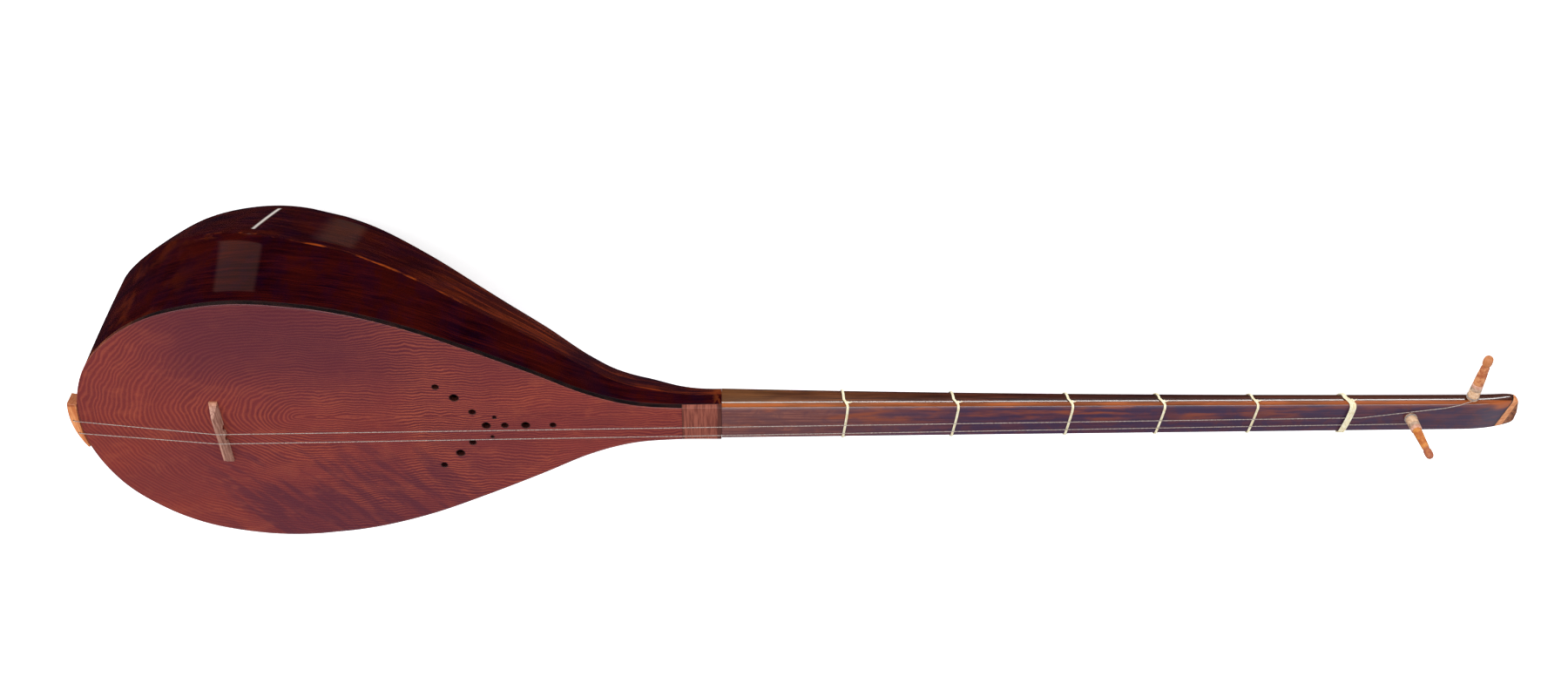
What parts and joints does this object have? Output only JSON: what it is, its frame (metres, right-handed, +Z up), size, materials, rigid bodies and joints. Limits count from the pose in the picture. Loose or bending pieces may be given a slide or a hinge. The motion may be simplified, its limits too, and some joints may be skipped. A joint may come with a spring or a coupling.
{
  "type": "long-necked lute",
  "caption": "Long-necked fretted lute with a staved pear-shaped bowl, flat soundboard with sound holes, floating bridge, tied gut frets and turned friction pegs.",
  "frame": {"origin": "bottom centre of the bounding box of the instrument lying on its back, on the plane it rests on", "axes": "+X from the tail to the head, +Y across the instrument towards the side that the side peg stands out of, +Z up, out of the soundboard side; the neck leans down towards the head by about 10 degrees"},
  "size_m": [0.9942, 0.2222, 0.1929],
  "materials": {
    "lacquered_rib": "dark glossy lacquer",
    "soundboard_wood": "satin varnish, curly grain",
    "black_edge": "black satin",
    "block_wood": "raw",
    "neck_wood": "glossy varnish",
    "pale_wood": "varnished, light orange",
    "dark_wood": "varnished, dark brown",
    "bridge_wood": "raw, fine sanded",
    "string_silk": "twisted silk cord",
    "gut": "translucent gut",
    "peg_wood": "turned, lightly oiled"
  },
  "bodies": {
    "instrument": {"rib_1": "lacquered_rib", "rib_2": "lacquered_rib", "rib_3": "lacquered_rib", "rib_4": "lacquered_rib", "rib_5": "lacquered_rib", "rib_6": "lacquered_rib", "rib_7": "lacquered_rib", "tail_block": "block_wood", "soundboard": "soundboard_wood", "edge_strip_near": "black_edge", "edge_strip_far": "black_edge", "joint_cover": "soundboard_wood", "neck": "neck_wood", "head_veneer": "black_edge", "head_lamination": "pale_wood", "head_tip": "dark_wood", "tailpiece": "pale_wood", "string_near": "string_silk", "string_far": "string_silk"},
    "bridge": {"bridge": "bridge_wood"},
    "fret_1": {"fret_1": "gut"},
    "fret_2": {"fret_2": "gut"},
    "fret_3": {"fret_3": "gut"},
    "fret_4": {"fret_4": "gut"},
    "fret_5": {"fret_5": "gut"},
    "nut_binding": {"nut_binding": "gut"},
    "front_peg": {"peg_front": "peg_wood", "winding_front": "string_silk"},
    "side_peg": {"peg_side": "peg_wood", "winding_side": "string_silk"}
  },
  "joints": [
    {"name": "front_peg_turn", "type": "hinge", "parent": "instrument", "child": "front_peg", "pos_m": [0.41809, 0.001, 0.02891], "axis": [0.1777, 0, 0.9841], "continuous": true},
    {"name": "side_peg_turn", "type": "hinge", "parent": "instrument", "child": "side_peg", "pos_m": [0.4592, 0.0125, 0.01457], "axis": [0, 1, 0], "continuous": true},
    {"name": "bridge_slide", "type": "slide", "parent": "instrument", "child": "bridge", "axis": [0.9841, 0, -0.1777], "range_m": [-0.002, 0.008]},
    {"name": "fret_1_slide", "type": "slide", "parent": "instrument", "child": "fret_1", "axis": [0.9841, 0, -0.1777], "range_m": [-0.0015, 0.004]},
    {"name": "fret_2_slide", "type": "slide", "parent": "instrument", "child": "fret_2", "axis": [0.9841, 0, -0.1777], "range_m": [-0.0015, 0.004]},
    {"name": "fret_3_slide", "type": "slide", "parent": "instrument", "child": "fret_3", "axis": [0.9841, 0, -0.1777], "range_m": [-0.0015, 0.004]},
    {"name": "fret_4_slide", "type": "slide", "parent": "instrument", "child": "fret_4", "axis": [0.9841, 0, -0.1777], "range_m": [-0.0015, 0.004]},
    {"name": "fret_5_slide", "type": "slide", "parent": "instrument", "child": "fret_5", "axis": [0.9841, 0, -0.1777], "range_m": [-0.0015, 0.004]},
    {"name": "nut_binding_slide", "type": "slide", "parent": "instrument", "child": "nut_binding", "axis": [0.9841, 0, -0.1777], "range_m": [-0.003, 0.003]}
  ]
}
